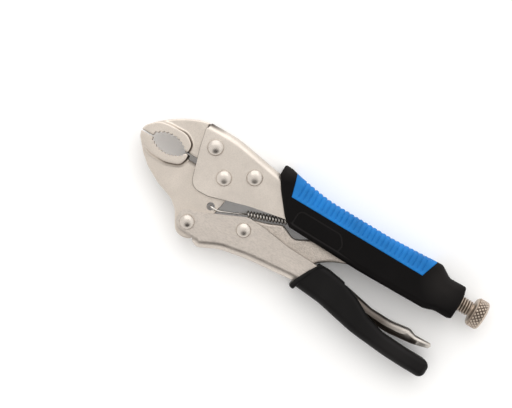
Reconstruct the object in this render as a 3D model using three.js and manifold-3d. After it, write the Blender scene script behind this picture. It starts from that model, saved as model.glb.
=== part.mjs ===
// Locking pliers, 180 mm from the jaw tip to the end of the adjusting knob.
// Lengths are in millimetres. While drawing, the origin is the centre of the movable jaw's pivot, +X runs
// back towards the knob, +Y runs up to the back of the fixed handle and Z is the pivots' direction, with 0
// mid-thickness. The last step moves everything so that the tool lies on its side, with its bounding box
// centred over the origin.
import * as THREE from "three";
import { mergeVertices } from "three/addons/utils/BufferGeometryUtils.js";
import Module from "manifold-3d";

const wasm = await Module();
wasm.setup();

// ---- driving dimensions ----
const TOOL_CENTRE_X = 46; // middle of the overall length, measured from the jaw pivot
const TOOL_CENTRE_Y = -6.7; // middle of the overall height
const GRIP_HALF = 8.6; // half the width over the grips: the flat the tool lies on

const SHEET = 2; // pressed steel of the frame and of the moving handle
const SHELL_HALF = 6.3; // half the width over the pressed channels
const CHANNEL_HALF = SHELL_HALF - SHEET; // half the gap inside them
const FOLD_RADIUS = 2.6; // outside radius of their folded backs
const JAW_HALF = 4; // half the thickness of the jaws' shanks
const BOSS_HALF = 5.8; // half the thickness of the jaws round the mouth
const LINK_HALF = 3.8; // half the thickness of the toggle link
const SEAT = 0.06; // gap under a rivet head or between pressed-together parts

const JAW_PIVOT = [0, 0];
const FRONT_RIVET = [-10.5, 10.1];
const REAR_RIVET = [12, 7.4];
const HANDLE_PIVOT = [-4.2, -25.8];
const LINK_PIVOT = [20, -15.8];
const LINK_END = [74.5, 6.2]; // centre of the toggle link's rounded rear end
const LINK_END_RADIUS = 3.2;
const LEVER_PIVOT = [65.5, -16.8];
const SPRING_ANCHOR = [48.5, 3];
const SPRING_HOLE = [1.4, -14.2];

const SHANK_RADIUS = 2.5; // rivet shanks
const HEAD_RADIUS = 3.7; // rivet heads
const HEAD_HEIGHT = 2.15;
const PIN_RADIUS = 1.5; // plain cross pins
const RUNNING = 0.1; // radial clearance of a shank in its hole

const MOUTH_CENTRE_X = -30;
const UPPER_MOUTH = { y: -6.5, radius: 11.3, from: 41, to: 137 };
const LOWER_MOUTH = { y: 8, radius: 11.7, from: -44, to: -132 };
const JAW_TEETH = 10;
const TOOTH_DEPTH = 0.65;

const SCREW_Y = 6.7; // height of the screw's axis
const SCREW_TIP_X = 80.1;
const THREAD_FROM_X = 105;
const THREAD_PITCH = 1.3;
const THREAD_CREST = 3.75;
const THREAD_ROOT = 3.15;
const KNOB_FROM_X = 129;
const KNOB_TO_X = 136;
const KNOB_RADIUS = 7;
const STEM_LENGTH = 4; // of the screw, inside the knob

const RIB_PITCH = 2.43;
const RIB_COUNT = 27;
const FIRST_RIB_X = 35.1;
const RIB_GROOVE = 0.95; // width of the groove between two ribs
const RIB_DEPTH = 0.6;
const RIB_END_Y = 9.6; // the grooves run down the sides to here

const SPRING_COIL_RADIUS = 1.25;
const SPRING_WIRE_RADIUS = 0.36;
const SPRING_TURNS = 20;

const BIG = 400; // reaches past the whole tool
const SMALLEST_DETAIL = 0.012; // steps in a surface finer than this are left out

// ---- outlines ----
function radians(degrees) {
  return (degrees * Math.PI) / 180;
}

function arc(x, y, radius, from, to, steps) {
  const points = [];
  for (let i = 0; i <= steps; i++) {
    const angle = radians(from + ((to - from) * i) / steps);
    points.push([x + radius * Math.cos(angle), y + radius * Math.sin(angle)]);
  }
  return points;
}

// Rounds one corner of a path: corner is [x, y, radius].
function roundedCorner(before, corner, after) {
  const [x, y, radius = 0] = corner;
  const a = new THREE.Vector2(before[0] - x, before[1] - y);
  const b = new THREE.Vector2(after[0] - x, after[1] - y);
  const room = Math.min(a.length(), b.length()) * 0.49;
  a.normalize();
  b.normalize();
  const half = Math.acos(THREE.MathUtils.clamp(a.dot(b), -1, 1)) / 2;
  const reach = Math.min(radius / Math.tan(half), room);
  if (radius === 0 || reach < 0.02) {
    return [[x, y]];
  }
  const steps = Math.max(1, Math.round((Math.PI - 2 * half) / radians(22)));
  const start = a.clone().multiplyScalar(reach);
  const end = b.clone().multiplyScalar(reach);
  const middle = a.clone().add(b).normalize().multiplyScalar(reach / Math.cos(half));
  const first = Math.atan2(start.y - middle.y, start.x - middle.x);
  let sweep = Math.atan2(end.y - middle.y, end.x - middle.x) - first;
  if (sweep > Math.PI) {
    sweep -= 2 * Math.PI;
  }
  if (sweep < -Math.PI) {
    sweep += 2 * Math.PI;
  }
  const size = start.distanceTo(middle);
  const points = [];
  for (let i = 0; i <= steps; i++) {
    const angle = first + (sweep * i) / steps;
    points.push([x + middle.x + size * Math.cos(angle), y + middle.y + size * Math.sin(angle)]);
  }
  return points;
}

// A closed outline through corners [x, y, radius].
function rounded(corners) {
  const n = corners.length;
  return corners.flatMap((c, i) => roundedCorner(corners[(i + n - 1) % n], c, corners[(i + 1) % n]));
}

// The same for an open path, whose two ends stay where they are.
function openPath(corners) {
  const last = corners.length - 1;
  return corners.flatMap((c, i) =>
    i === 0 || i === last ? [[c[0], c[1]]] : roundedCorner(corners[i - 1], c, corners[i + 1]),
  );
}

// Moves every point of a path sideways, to the left of its direction of travel.
function offset(points, distance, closed) {
  const n = points.length;
  return points.map((p, i) => {
    const before = points[closed ? (i + n - 1) % n : Math.max(i - 1, 0)];
    const after = points[closed ? (i + 1) % n : Math.min(i + 1, n - 1)];
    const a = new THREE.Vector2(p[0] - before[0], p[1] - before[1]);
    const b = new THREE.Vector2(after[0] - p[0], after[1] - p[1]);
    if (a.length() === 0) {
      a.copy(b);
    }
    if (b.length() === 0) {
      b.copy(a);
    }
    a.normalize();
    b.normalize();
    const along = a.clone().add(b).normalize();
    const stretch = distance / Math.max(along.dot(a), 0.5);
    return [p[0] - along.y * stretch, p[1] + along.x * stretch];
  });
}

// ---- solids ----
function solid(geometry) {
  const plain = geometry.clone();
  plain.deleteAttribute("normal");
  plain.deleteAttribute("uv");
  const merged = mergeVertices(plain, 1e-4);
  return new wasm.Manifold(
    new wasm.Mesh({
      numProp: 3,
      vertProperties: new Float32Array(merged.attributes.position.array),
      triVerts: new Uint32Array(merged.index.array),
    }),
  );
}

function extruded(points, low, high, bevel, steps) {
  const shape = new THREE.Shape(points.map((p) => new THREE.Vector2(p[0], p[1])));
  const geometry = new THREE.ExtrudeGeometry(shape, {
    depth: high - low - 2 * bevel,
    steps: 1,
    bevelEnabled: bevel > 0,
    bevelThickness: bevel,
    bevelSize: bevel,
    bevelOffset: -bevel,
    bevelSegments: steps,
  });
  geometry.translate(0, 0, low + bevel);
  return solid(geometry);
}

// A plate of the given outline, centred on mid-thickness, with its edges rounded by bevel.
function plate(points, half, bevel = 0, steps = 2) {
  return extruded(points, -half, half, bevel, steps);
}

function box(x0, x1, y0, y1, half) {
  return plate([[x0, y0], [x1, y0], [x1, y1], [x0, y1]], half);
}

// A round bar along Z.
function bar([x, y], radius, half, segments = 24) {
  const geometry = new THREE.CylinderGeometry(radius, radius, 2 * half, segments);
  geometry.rotateX(Math.PI / 2);
  geometry.translate(x, y, 0);
  return solid(geometry);
}

// A turned part along X on the screw's axis: profile is a list of [x, radius] from axis to axis.
function turned(profile, segments) {
  const points = profile.map(([x, radius]) => new THREE.Vector2(radius, x));
  const geometry = new THREE.LatheGeometry(points, segments);
  geometry.rotateZ(-Math.PI / 2);
  geometry.translate(0, SCREW_Y, 0);
  return solid(geometry);
}

// A rivet along Z with a domed head at each end.
function rivet([x, y], headRadius) {
  const seat = SHELL_HALF + SEAT;
  const dome = 3;
  const end = [];
  for (let i = 0; i <= dome; i++) {
    const angle = radians(90 - (90 * i) / dome);
    end.push([headRadius * Math.cos(angle), seat + 0.35 + (HEAD_HEIGHT - 0.35) * Math.sin(angle)]);
  }
  end.push([headRadius - 0.15, seat], [SHANK_RADIUS, seat]);
  const lower = end.map(([r, z]) => new THREE.Vector2(r, -z));
  const upper = end.map(([r, z]) => new THREE.Vector2(r, z)).reverse();
  const geometry = new THREE.LatheGeometry([...lower, ...upper], 20);
  geometry.rotateX(Math.PI / 2);
  geometry.translate(x, y, 0);
  return solid(geometry);
}

function rivetHole(at) {
  return bar(at, SHANK_RADIUS + RUNNING, BIG);
}

function pinHole(at) {
  return bar(at, PIN_RADIUS + RUNNING, BIG);
}

// ---- frame ----
// The folded back of the frame, from the jaws to the screw.
const frameBack = openPath([
  [-17.6, 18.9], [-3, 19.1, 40], [8, 17.3, 30], [24, 14.7, 40], [40, 13.8, 60], [104, 13.7, 20], [110, 13, 20],
  [121, 13],
]);

const frameOutline = [
  ...frameBack,
  ...openPath([[121, 13], [121, -0.4, 0.6], [40, -0.4, 30], [16.5, -5.1, 40], [-2, -10.7, 4],
    [-11, -11.2, 8.5], [-16.6, 6.5, 30], [-18.6, 15.2, 2], [-17.6, 18.9]]).slice(1, -1),
];

// Everything on the open side of a folded edge: the edge, then far away to its open side.
function openSide(edge, towardsY) {
  return [[edge[0][0] - BIG, edge[0][1]], ...edge, [edge[edge.length - 1][0] + BIG, edge[edge.length - 1][1]],
    [BIG, towardsY], [-BIG, towardsY]];
}

// A channel pressed from sheet: two side plates joined by a rounded fold along one edge.
function channel(outline, edge, inward, half, sheet, towardsY) {
  const body = plate(outline, half).intersect(plate(openSide(edge, towardsY), half, FOLD_RADIUS, 3));
  return body.subtract(plate(openSide(offset(edge, inward * sheet, false), towardsY), half - sheet));
}

function upperFrame() {
  return channel(frameOutline, frameBack, -1, SHELL_HALF, SHEET, -BIG)
    .subtract(rivetHole(JAW_PIVOT))
    .subtract(rivetHole(FRONT_RIVET))
    .subtract(rivetHole(REAR_RIVET))
    .subtract(pinHole(SPRING_ANCHOR));
}

// ---- jaws ----
// Teeth cut along an arc of the mouth: crests on the arc, roots a tooth depth outside it.
function teeth({ y, radius, from, to }) {
  const points = [];
  for (let i = 0; i < JAW_TEETH; i++) {
    const crest = radians(from + ((to - from) * i) / JAW_TEETH);
    const root = radians(from + ((to - from) * (i + 0.5)) / JAW_TEETH);
    points.push([MOUTH_CENTRE_X + radius * Math.cos(crest), y + radius * Math.sin(crest)]);
    points.push([
      MOUTH_CENTRE_X + (radius + TOOTH_DEPTH) * Math.cos(root),
      y + (radius + TOOTH_DEPTH) * Math.sin(root),
    ]);
  }
  const end = radians(to);
  points.push([MOUTH_CENTRE_X + radius * Math.cos(end), y + radius * Math.sin(end)]);
  return points;
}

const FIXED_EDGE_Y = 1.5; // underside of the fixed jaw behind the mouth
const MOVABLE_EDGE_Y = -0.9; // top of the movable jaw behind the mouth
const HUB_RADIUS = 7.4; // the movable jaw's round top, inside the frame
const HUB_POCKET = 8; // the fixed jaw's hollow over it

// The toothed half of the mouth, as the space cut out of a jaw.
function mouthCut(mouth, openTo) {
  return plate([...teeth(mouth), [-38.9, openTo], [-20.3, openTo]], BIG);
}

function fixedJaw() {
  const nose = openPath([[-44, 0.1], [-43.3, 2.7, 3], [-38.2, 8.3, 35], [-30, 14.2, 45], [-22, 17.8, 15],
    [-18, 18.5], [-18.55, 16.6], [-4, 16.8, 6], [8, 15, 10], [17.6, 13.2, 1.5], [17.6, 3.4, 1.5], [9, 3.4]]);
  const hollow = arc(0, 0, HUB_POCKET, 25, 168, 10);
  const underside = [[-8.6, FIXED_EDGE_Y], [-21.2, FIXED_EDGE_Y], [-21.7, 0.9]];
  const web = plate([...nose, ...hollow, ...underside], JAW_HALF + 0.2);
  const lip = openPath([[-44, 0.1], [-43.3, 2.7, 3], [-39.2, 7.1, 6], [-33.5, 8.2, 8], [-24.8, 8.5, 6],
    [-20.5, 5.4, 4], [-20.5, 1.7, 1], [-21.7, 0.9]]);
  return web
    .add(plate(lip, BOSS_HALF, 0.5, 1))
    .subtract(mouthCut(UPPER_MOUTH, -3))
    .subtract(rivetHole(FRONT_RIVET))
    .subtract(rivetHole(REAR_RIVET));
}

function movableJaw() {
  const belly = openPath([[-44, -0.35], [-43.1, -3, 3], [-38.4, -8.6, 12], [-33, -13.2, 12], [-25, -17.4, 14],
    [-16.3, -20.3, 10], [-12, -24, 6], [-9.6, -28.2, 5], [-6.6, -32.8, 6], [1, -33, 6], [3.6, -26, 8],
    [4.7, -15.9, 20], [5.9, -8.7, 10], [7.3, -1.4]]);
  const hub = arc(0, 0, HUB_RADIUS, 0, 187, 12);
  const outline = [...belly, ...hub, [-20.8, MOVABLE_EDGE_Y], [-21.6, -0.35]];
  const lip = openPath([[-44, -0.35], [-43.1, -3, 3], [-40.4, -5.4, 3], [-34.5, -7.2, 8], [-27, -7.3, 8],
    [-20.6, -5, 4], [-19.6, -1.5, 3], [-19.7, 0.8, 0.8], [-21.2, 0.5, 0.5], [-21.6, -0.35]]);
  return plate(outline, JAW_HALF)
    .add(plate(lip, BOSS_HALF, 0.5, 1))
    .subtract(mouthCut(LOWER_MOUTH, 3))
    .subtract(rivetHole(JAW_PIVOT))
    .subtract(rivetHole(HANDLE_PIVOT))
    .subtract(bar(SPRING_HOLE, 1.9, BIG, 16));
}

// ---- moving handle and its toggle link ----
// The folded underside of the moving handle, from its nose to its tail.
const handleBelly = openPath([
  [3, -33], [5.6, -33.6, 2], [15, -29, 20], [28, -26.5, 40], [51, -24.1, 40], [66, -24.4, 30],
  [86, -28.4, 60], [104, -29.8, 40], [121.4, -30.1],
]);

const handleOutline = [
  ...handleBelly,
  ...openPath([[121.4, -30.1], [121.4, -25.4, 1], [101, -24.8, 30], [89.5, -22, 20], [80.5, -17, 15],
    [72, -13.9, 8], [58, -12.5, 30], [42, -12.1, 30], [29, -10.3, 20], [19, -9.6, 6], [-2, -19.2, 14],
    [-9.6, -21.4, 4], [-9, -30.6, 5], [1.4, -30.9, 0.5], [3, -33]]).slice(1, -1),
];

function lowerHandle() {
  // the fold starts a little behind the nose, so the jaw's lobe can turn between the side plates
  const noseGap = box(-20, 3.6, -40, -20, CHANNEL_HALF);
  return channel(handleOutline, handleBelly, 1, SHELL_HALF, SHEET, BIG)
    .subtract(noseGap)
    .subtract(rivetHole(HANDLE_PIVOT))
    .subtract(rivetHole(LINK_PIVOT))
    .subtract(pinHole(LEVER_PIVOT));
}

function toggleLink() {
  const tipX = LINK_END[0] + LINK_END_RADIUS;
  const tipTop = LINK_END[1] + LINK_END_RADIUS;
  const outline = rounded([
    [14.6, -16.5, 4], [16.2, -10.9, 3], [28, -7.4, 14], [34.6, -4.3, 1.6], [42, -7.6, 4.5], [49, -3.6, 8],
    [70, tipTop, 3], [tipX, tipTop, LINK_END_RADIUS], [tipX, LINK_END[1] - LINK_END_RADIUS, LINK_END_RADIUS],
    [71.5, -3.7, 3], [62.5, -7.4, 20], [56.8, -11.4, 4],
    [54.5, -15.6, 4], [40, -19.4, 20], [16, -20.6, 4],
  ]);
  return plate(outline, LINK_HALF, 0.9, 2).subtract(rivetHole(LINK_PIVOT));
}

// ---- release lever ----
function releaseLever() {
  const top = openPath([[58.4, -14.2], [62, -12.9, 4], [74.5, -13.3, 20], [89.5, -16.3, 14], [100, -16.5, 20],
    [109.3, -15.1, 2.5], [112.8, -16.5, 2.5], [120, -16.2]]);
  const underside = openPath([[120, -16.2], [121.5, -16.2, 1.2], [121.3, -18.7, 1.2], [113, -20.9, 5],
    [100, -22.4, 20], [86, -21.4, 20], [64, -20.4, 3], [57.6, -17, 1.5], [58.4, -14.2]]);
  const outline = [...top, ...underside.slice(1, -1)];
  const tail = 112; // behind this the sheet is pressed together into a tab
  const sheet = 1.3;
  const hollow = plate(openSide(offset(top, -sheet, false), -BIG), 3.9 - sheet);
  return plate(outline, 3.9, 0.5, 1)
    .subtract(hollow.intersect(box(40, tail, -60, 40, BIG)))
    .subtract(pinHole(LEVER_PIVOT));
}

// ---- adjusting screw ----
function adjustingScrew() {
  const profile = [[SCREW_TIP_X, 0], [SCREW_TIP_X, 2.2], [SCREW_TIP_X + 0.8, 3], [THREAD_FROM_X - 0.5, 3]];
  const turns = Math.floor((KNOB_FROM_X - SEAT - THREAD_FROM_X) / THREAD_PITCH);
  for (let i = 0; i < turns; i++) {
    const x = THREAD_FROM_X + i * THREAD_PITCH;
    profile.push([x, THREAD_ROOT], [x + THREAD_PITCH / 2, THREAD_CREST]);
  }
  // the stem that the knob is pressed on
  const stemEnd = KNOB_FROM_X + STEM_LENGTH;
  profile.push([KNOB_FROM_X - SEAT - 0.4, THREAD_ROOT], [stemEnd, THREAD_ROOT], [stemEnd, 0]);
  return turned(profile, 20);
}

function screwKnob() {
  const bore = THREAD_ROOT + RUNNING;
  const depth = KNOB_FROM_X + STEM_LENGTH + SEAT * 2;
  const front = KNOB_FROM_X;
  const rear = KNOB_TO_X;
  return turned([
    [depth, 0], [depth, bore], [front, bore], [front, KNOB_RADIUS - 1.3], [front + 0.3, KNOB_RADIUS - 0.5],
    [front + 1.1, KNOB_RADIUS - 0.1], [front + 1.4, KNOB_RADIUS], [rear - 1.3, KNOB_RADIUS],
    [rear - 0.5, KNOB_RADIUS - 0.3], [rear - 0.1, KNOB_RADIUS - 1], [rear, KNOB_RADIUS - 1.6], [rear, 0],
  ], 36);
}

// The space for the threaded rod, a clearance wider than its crests.
function screwBore(clearance) {
  const radius = THREAD_CREST + clearance;
  return [[SCREW_TIP_X, 0], [SCREW_TIP_X, radius], [BIG, radius], [BIG, 0]];
}

function threadedBush() {
  const high = SCREW_Y + 4.2;
  const low = SCREW_Y - 4.2;
  const outline = rounded([[107.5, low, 1], [120.6, low, 1], [120.6, high, 1], [107.5, high, 1]]);
  const block = plate(outline, CHANNEL_HALF - SEAT);
  const bore = turned(screwBore(RUNNING), 40);
  return block.subtract(bore);
}

// ---- grips ----
const GRIP_BEVEL = 2.6; // rounding of a grip's long edges
const END_BEVEL = 1.6; // rounding of its ends
const INLAY_THICK = 1.2;
const PANEL_GROOVE = 0.7; // width of the groove round the grip's side panel
const PANEL_DEPTH = 0.35;

const gripTop = openPath([
  [22, 20.1], [25, 20, 8], [30, 18.8, 14], [47, 16.3, 60], [80, 16.2, 60], [106.8, 17.7, 3.5],
  [112.6, 14.1, 4], [120.6, 14.4],
]);
const gripBottom = openPath([[37.5, -3.9], [75, -4.8, 60], [109, -4.1, 6], [114, -2.3, 6], [120.6, -2.3]]);
const gripFront = openPath([
  [37.5, -3.9], [33, -0.8, 8], [25.2, 8.8, 30], [21.3, 14.8, 3.5], [21.2, 19.4], [22, 20.1],
]);
const gripRear = openPath([
  [120.6, 14.4], [121.6, 13.4, 0.8], [122.6, 9, 6], [122.2, -1.4, 0.8], [120.6, -2.3],
]);

const gripOutline = [
  ...gripTop,
  ...gripRear.slice(1, -1),
  ...[...gripBottom].reverse(),
  ...gripFront.slice(1, -1),
];

const inlayOutline = rounded([
  [27.1, 22, 0], [31, 8.6, 1.8], [50, 8.3, 60], [80, 8.4, 60], [100.7, 8.8, 1.2], [103.3, 13.2, 12],
  [105.4, 22, 0],
]);

// The grip and its inlay together, with rounded edges.
function gripBody() {
  const front = [...gripFront.slice(0, -2), [21.2, BIG], [BIG, BIG], [BIG, -BIG], [37.5, -BIG]];
  const rear = [[-BIG, -BIG], [122.2, -BIG], [122.6, 9], [121.3, 14], [121.3, BIG], [-BIG, BIG]];
  return plate(gripOutline, GRIP_HALF)
    .intersect(plate(openSide(gripTop, -BIG), GRIP_HALF, GRIP_BEVEL, 3))
    .intersect(plate(openSide(gripBottom, BIG), GRIP_HALF, GRIP_BEVEL, 3))
    .intersect(plate(front, GRIP_HALF, END_BEVEL, 2))
    .intersect(plate(rear, GRIP_HALF, END_BEVEL, 2));
}

// The grip's back, drawn in by a depth: what lies under the inlay or under its grooves.
function gripCore(depth) {
  return plate(openSide(offset(gripTop, -depth, false), -BIG), GRIP_HALF - depth, GRIP_BEVEL - depth / 2, 2);
}

function upperGrip() {
  const hollow = plate(offset(frameOutline, SEAT * 2, true), SHELL_HALF + SEAT * 2);
  const slot = box(10, 107, -20, 4, CHANNEL_HALF);
  const screwWay = turned(screwBore(0.5), 32);
  const panel = rounded([
    [37, -2.4, 1.5], [37.2, 5.8, 3], [59.5, 5.8, 4], [62.8, 1.5, 3], [62.3, -2.4, 1.5],
  ]);
  const insideGroove = plate(offset(panel, -PANEL_GROOVE, true), BIG);
  const groove = plate(panel, BIG).subtract(insideGroove).subtract(plate(panel, GRIP_HALF - PANEL_DEPTH));
  return gripBody()
    .subtract(plate(inlayOutline, BIG).subtract(gripCore(INLAY_THICK)))
    .subtract(hollow)
    .subtract(slot)
    .subtract(screwWay)
    .subtract(groove);
}

function upperGripInlay() {
  let grooves = null;
  for (let i = 0; i < RIB_COUNT - 1; i++) {
    const x = FIRST_RIB_X + (i + 0.5) * RIB_PITCH;
    const groove = box(x - RIB_GROOVE / 2, x + RIB_GROOVE / 2, RIB_END_Y, 30, BIG);
    grooves = grooves === null ? groove : grooves.add(groove);
  }
  return gripBody()
    .intersect(plate(offset(inlayOutline, SEAT, true), BIG))
    .subtract(gripCore(INLAY_THICK - SEAT))
    .subtract(grooves.subtract(gripCore(RIB_DEPTH)));
}

// The sleeve's upper edge, with the step where its front collar ends, and the smooth line of its rounding.
const sleeveTop = openPath([
  [58.5, -11.1], [64, -11, 4], [71.9, -12.2, 0.5], [72.6, -13.2, 0.5], [76.5, -13.8, 6], [81, -15.8, 10],
  [89.5, -20.4, 12], [100, -23.2, 15], [113, -23.8],
]);
const sleeveCrown = openPath([
  [58.5, -11.1], [64, -11, 4], [72.3, -12.3, 3], [81, -15.8, 10], [89.5, -20.4, 12], [100, -23.2, 15],
  [113, -23.8],
]);
const sleeveBelly = openPath([
  [53, -25.6], [66, -26.6, 40], [86, -30.6, 60], [104, -32.1, 60], [113, -32.4],
]);

function lowerGripSleeve() {
  const tail = openPath([[113, -32.4], [125, -32.7, 4.2], [125.2, -23.7, 4.2], [113, -23.8]]).slice(1, -1);
  const half = GRIP_HALF - 0.3;
  const body = plate([...sleeveBelly, ...tail, ...[...sleeveTop].reverse()], half)
    .intersect(plate(openSide(sleeveCrown, -BIG), half, 2, 3))
    .intersect(plate(openSide(sleeveBelly, BIG), half, GRIP_BEVEL, 3))
    .intersect(plate([[-BIG, -BIG], [125.2, -BIG], [125.2, BIG], [-BIG, BIG]], half, GRIP_BEVEL, 3));
  const bead = plate(rounded([
    [58.3, -10.9, 0.6], [60.3, -11.4, 0.6], [57.2, -16.8, 8], [54, -24.6, 2], [53.2, -27.3, 0.8],
    [50.7, -27, 1], [51.7, -22.8, 5], [55.1, -16.2, 8],
  ]), GRIP_HALF, 0.5, 1);
  const hollow = plate(offset(handleOutline, -SEAT * 2, true), SHELL_HALF + SEAT * 2);
  const inside = plate(openSide(offset(handleBelly, SHEET, false), BIG), CHANNEL_HALF);
  return body.add(bead).subtract(hollow).subtract(inside.intersect(box(40, 122, -60, 0, BIG)));
}

// ---- return spring ----
function returnSpring() {
  const front = new THREE.Vector3(17.5, -8.7, 0);
  const back = new THREE.Vector3(44.5, 1.5, 0);
  const along = back.clone().sub(front).normalize();
  const side = new THREE.Vector3(-along.y, along.x, 0);
  const perTurn = 8;
  const points = [
    new THREE.Vector3(SPRING_HOLE[0], SPRING_HOLE[1], 2),
    new THREE.Vector3(SPRING_HOLE[0], SPRING_HOLE[1], 4.3),
    new THREE.Vector3(2.2, -14.3, 5.1),
    new THREE.Vector3(5, -14.3, 5),
    new THREE.Vector3(9, -12.8, 3),
    new THREE.Vector3(14, -10.6, 0.8),
  ];
  for (let i = 0; i <= SPRING_TURNS * perTurn; i++) {
    const turn = radians(-90 + (360 * i) / perTurn);
    const centre = front.clone().lerp(back, i / (SPRING_TURNS * perTurn));
    centre.addScaledVector(side, SPRING_COIL_RADIUS * Math.cos(turn));
    points.push(centre.add(new THREE.Vector3(0, 0, SPRING_COIL_RADIUS * Math.sin(turn))));
  }
  const hook = PIN_RADIUS + SPRING_WIRE_RADIUS + 0.3;
  for (const angle of [-130, -60, 10, 80, 140]) {
    const x = SPRING_ANCHOR[0] + hook * Math.cos(radians(angle));
    points.push(new THREE.Vector3(x, SPRING_ANCHOR[1] + hook * Math.sin(radians(angle)), 0));
  }
  const path = new THREE.CatmullRomCurve3(points);
  const ring = arc(0, 0, SPRING_WIRE_RADIUS, 0, 288, 4).map((p) => new THREE.Vector2(p[0], p[1]));
  return solid(new THREE.ExtrudeGeometry(new THREE.Shape(ring), { steps: 200, extrudePath: path }));
}

// ---- materials ----
function material(color, roughness, metalness) {
  return new THREE.MeshStandardMaterial({ color, roughness, metalness });
}

const pressedSteel = () => material(0xcbc3b9, 0.38, 0.9);
const forgedSteel = () => material(0xc2bab0, 0.45, 0.85);
const turnedSteel = () => material(0xc9bfae, 0.32, 0.95);
const springSteel = () => material(0x6c6864, 0.35, 0.9);
const brightSteel = () => material(0xd8d5d0, 0.22, 0.95);
const blackGrip = () => material(0x1c1a1b, 0.6, 0);
const blueGrip = () => material(0x1c73bd, 0.6, 0);

// ---- assembly ----
const tool = new THREE.Group();

function place(name, body, look) {
  const result = body.simplify(SMALLEST_DETAIL).getMesh();
  const geometry = new THREE.BufferGeometry();
  geometry.setAttribute("position", new THREE.BufferAttribute(new Float32Array(result.vertProperties), 3));
  geometry.setIndex(new THREE.BufferAttribute(new Uint32Array(result.triVerts), 1));
  geometry.translate(-TOOL_CENTRE_X, -TOOL_CENTRE_Y, GRIP_HALF);
  geometry.computeVertexNormals();
  const mesh = new THREE.Mesh(geometry, look);
  mesh.name = name;
  tool.add(mesh);
}

place("upper_frame", upperFrame(), pressedSteel());
place("fixed_jaw", fixedJaw(), forgedSteel());
place("jaw_rivet_front", rivet(FRONT_RIVET, HEAD_RADIUS + 0.1), turnedSteel());
place("jaw_rivet_rear", rivet(REAR_RIVET, HEAD_RADIUS + 0.1), turnedSteel());
place("jaw_pivot_rivet", rivet(JAW_PIVOT, HEAD_RADIUS), turnedSteel());
place("spring_anchor_pin", bar(SPRING_ANCHOR, PIN_RADIUS, SHELL_HALF - SEAT, 16), turnedSteel());
place("threaded_bush", threadedBush(), turnedSteel());
place("upper_grip", upperGrip(), blackGrip());
place("upper_grip_inlay", upperGripInlay(), blueGrip());
place("return_spring", returnSpring(), springSteel());
place("movable_jaw", movableJaw(), forgedSteel());
place("lower_handle", lowerHandle(), pressedSteel());
place("lower_grip_sleeve", lowerGripSleeve(), blackGrip());
place("handle_pivot_rivet", rivet(HANDLE_PIVOT, HEAD_RADIUS - 0.2), turnedSteel());
place("link_pivot_rivet", rivet(LINK_PIVOT, HEAD_RADIUS - 0.2), turnedSteel());
place("lever_pivot_pin", bar(LEVER_PIVOT, PIN_RADIUS, SHELL_HALF - SEAT, 16), turnedSteel());
place("toggle_link", toggleLink(), forgedSteel());
place("release_lever", releaseLever(), brightSteel());
place("adjusting_screw", adjustingScrew(), turnedSteel());
place("screw_knob", screwKnob(), turnedSteel());

export default tool;
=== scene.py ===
"""Locking pliers: the looks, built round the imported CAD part.

Outlines are drawn in millimetres in the tool's own frame: the origin is the centre of the movable jaw's
pivot, +X runs back to the adjusting knob, +Y up to the fixed handle's back, and Z is across the tool, 0 in
the middle.
"""

import math

import bmesh
import bpy
from mathutils import Matrix, Vector


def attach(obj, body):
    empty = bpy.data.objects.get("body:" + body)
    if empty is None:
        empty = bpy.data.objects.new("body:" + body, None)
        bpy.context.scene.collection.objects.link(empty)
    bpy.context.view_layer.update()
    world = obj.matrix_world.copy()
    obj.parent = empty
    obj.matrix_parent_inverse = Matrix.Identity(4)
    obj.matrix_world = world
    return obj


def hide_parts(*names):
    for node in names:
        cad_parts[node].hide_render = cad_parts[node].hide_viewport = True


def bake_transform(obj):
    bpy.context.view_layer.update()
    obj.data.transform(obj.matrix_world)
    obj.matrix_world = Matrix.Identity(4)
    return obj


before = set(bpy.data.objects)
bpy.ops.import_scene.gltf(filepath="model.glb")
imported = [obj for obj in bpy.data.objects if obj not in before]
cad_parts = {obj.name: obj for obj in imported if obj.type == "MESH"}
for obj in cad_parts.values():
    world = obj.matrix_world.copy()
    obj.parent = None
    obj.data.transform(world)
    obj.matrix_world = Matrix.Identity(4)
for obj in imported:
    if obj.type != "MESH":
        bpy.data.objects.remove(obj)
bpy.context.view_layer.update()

# ---- driving dimensions, in millimetres, as in the CAD part ----
MM = 0.001
CENTRE = (46, -6.7, -8.6)  # the row's origin, in the tool's own frame
GRIP_HALF = 8.6
SHEET = 2
SHELL_HALF = 6.3
CHANNEL_HALF = SHELL_HALF - SHEET
FOLD_RADIUS = 3.4
JAW_HALF = 4
BOSS_HALF = 5.8
LINK_HALF = 3.8
SEAT = 0.06  # the play between pieces that would touch

JAW_PIVOT = (0, 0)
FRONT_RIVET = (-10.5, 10.1)
REAR_RIVET = (12, 7.4)
HANDLE_PIVOT = (-4.2, -25.8)
LINK_PIVOT = (20, -15.8)
LEVER_PIVOT = (65.5, -16.8)
SPRING_ANCHOR = (48.5, 3)
SPRING_HOLE = (1.4, -14.2)
SPRING_HOLE_RADIUS = 1.9
HOLE_RADIUS = 2.6
SHANK_RADIUS = 2.5
PIN_RADIUS = 1.5
PIN_PLAY = 0.1

SCREW_Y = 6.7
SCREW_TIP_X = 80.1
THREAD_PITCH = 1.3
THREAD_CREST = 3.75
THREAD_ROOT = 3.1
KNOB_FROM_X = 129
KNOB_TO_X = 136
KNOB_RADIUS = 7

RIB_PITCH = 2.43
FIRST_RIB_X = 35.1
RIB_COUNT = 27

SHEARED_EDGE = 0.4  # how far the edges of each kind of part are broken
PRESSED_EDGE = 0.15
MOULDED_EDGE = 0.12
FORGED_VOXEL = 0.3  # the grid that melts the forgings' edges, and how often it is smoothed
FORGED_ROUNDS = 9
CAST_VOXEL = 0.4
CAST_ROUNDS = 2
CORNER_STEP = 8  # degrees of a rounded corner between two of its points
NEARLY_HALF = 0.49  # how much of a side a rounded corner may use
LEAST_REACH = 0.02  # a corner that would use less stays sharp
TINY = 1e-9
BIG = 60  # further than any piece reaches


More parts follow.
